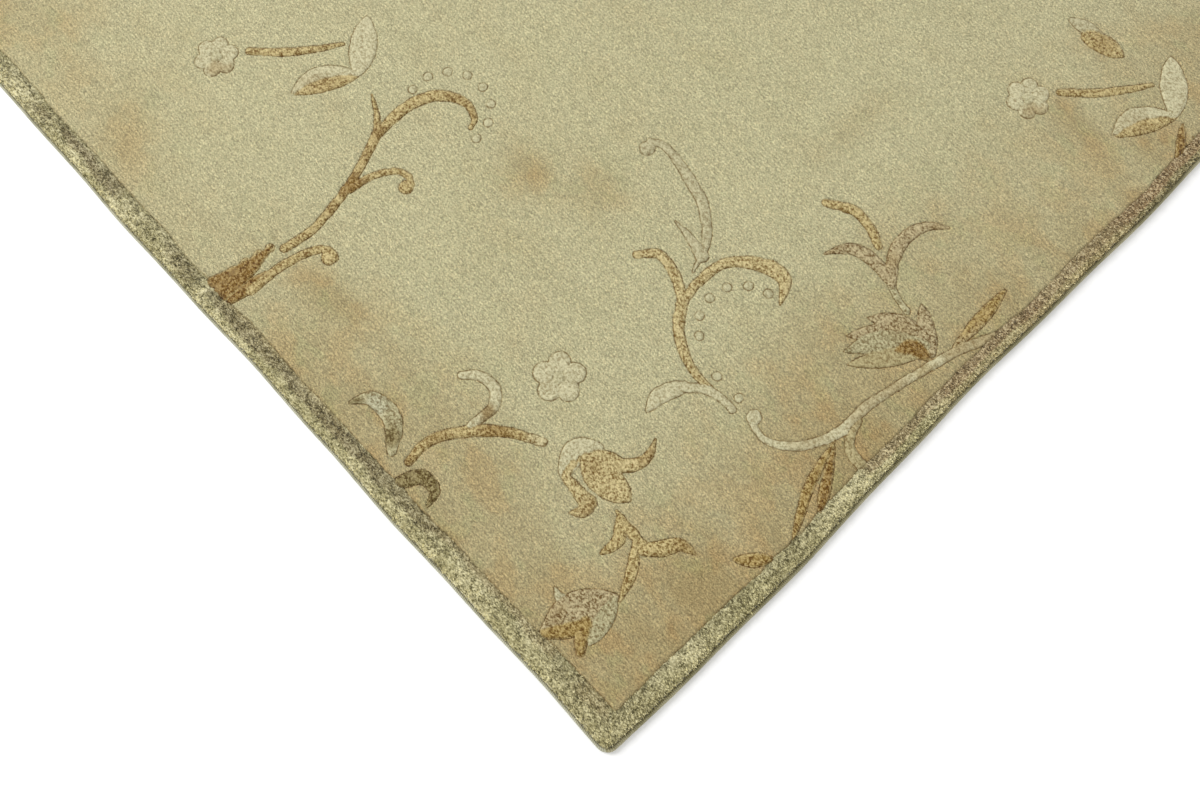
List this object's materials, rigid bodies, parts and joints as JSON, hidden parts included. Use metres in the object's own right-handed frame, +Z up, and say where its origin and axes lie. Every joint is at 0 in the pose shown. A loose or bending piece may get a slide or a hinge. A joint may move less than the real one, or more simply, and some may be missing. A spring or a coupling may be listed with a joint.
{
  "type": "oushak style hand-knotted rug",
  "caption": "Flat hand-knotted wool rug with raised silk border, scattered silk vines and flowers, and whipped edges.",
  "frame": {"origin": "on the floor under the centre of the rug", "axes": "+Z up out of the pile, +X along the rug's length, +Y across its width"},
  "size_m": [1.8323, 1.2246, 0.0112],
  "materials": {
    "wool_pile": "cut wool pile, matt, with soft bands of tan dye",
    "side_yarn": "whipped sage wool yarn",
    "end_yarn": "whipped pale wool yarn",
    "silk_pile": "cut silk pile, lustrous and mottled",
    "foundation": "woven cotton and wool knots, matt"
  },
  "bodies": {
    "root": {"rug": "wool_pile", "side_overcast_far": "side_yarn", "side_overcast_near": "side_yarn", "end_overcast_far": "end_yarn", "end_overcast_near": "end_yarn"}
  },
  "joints": []
}
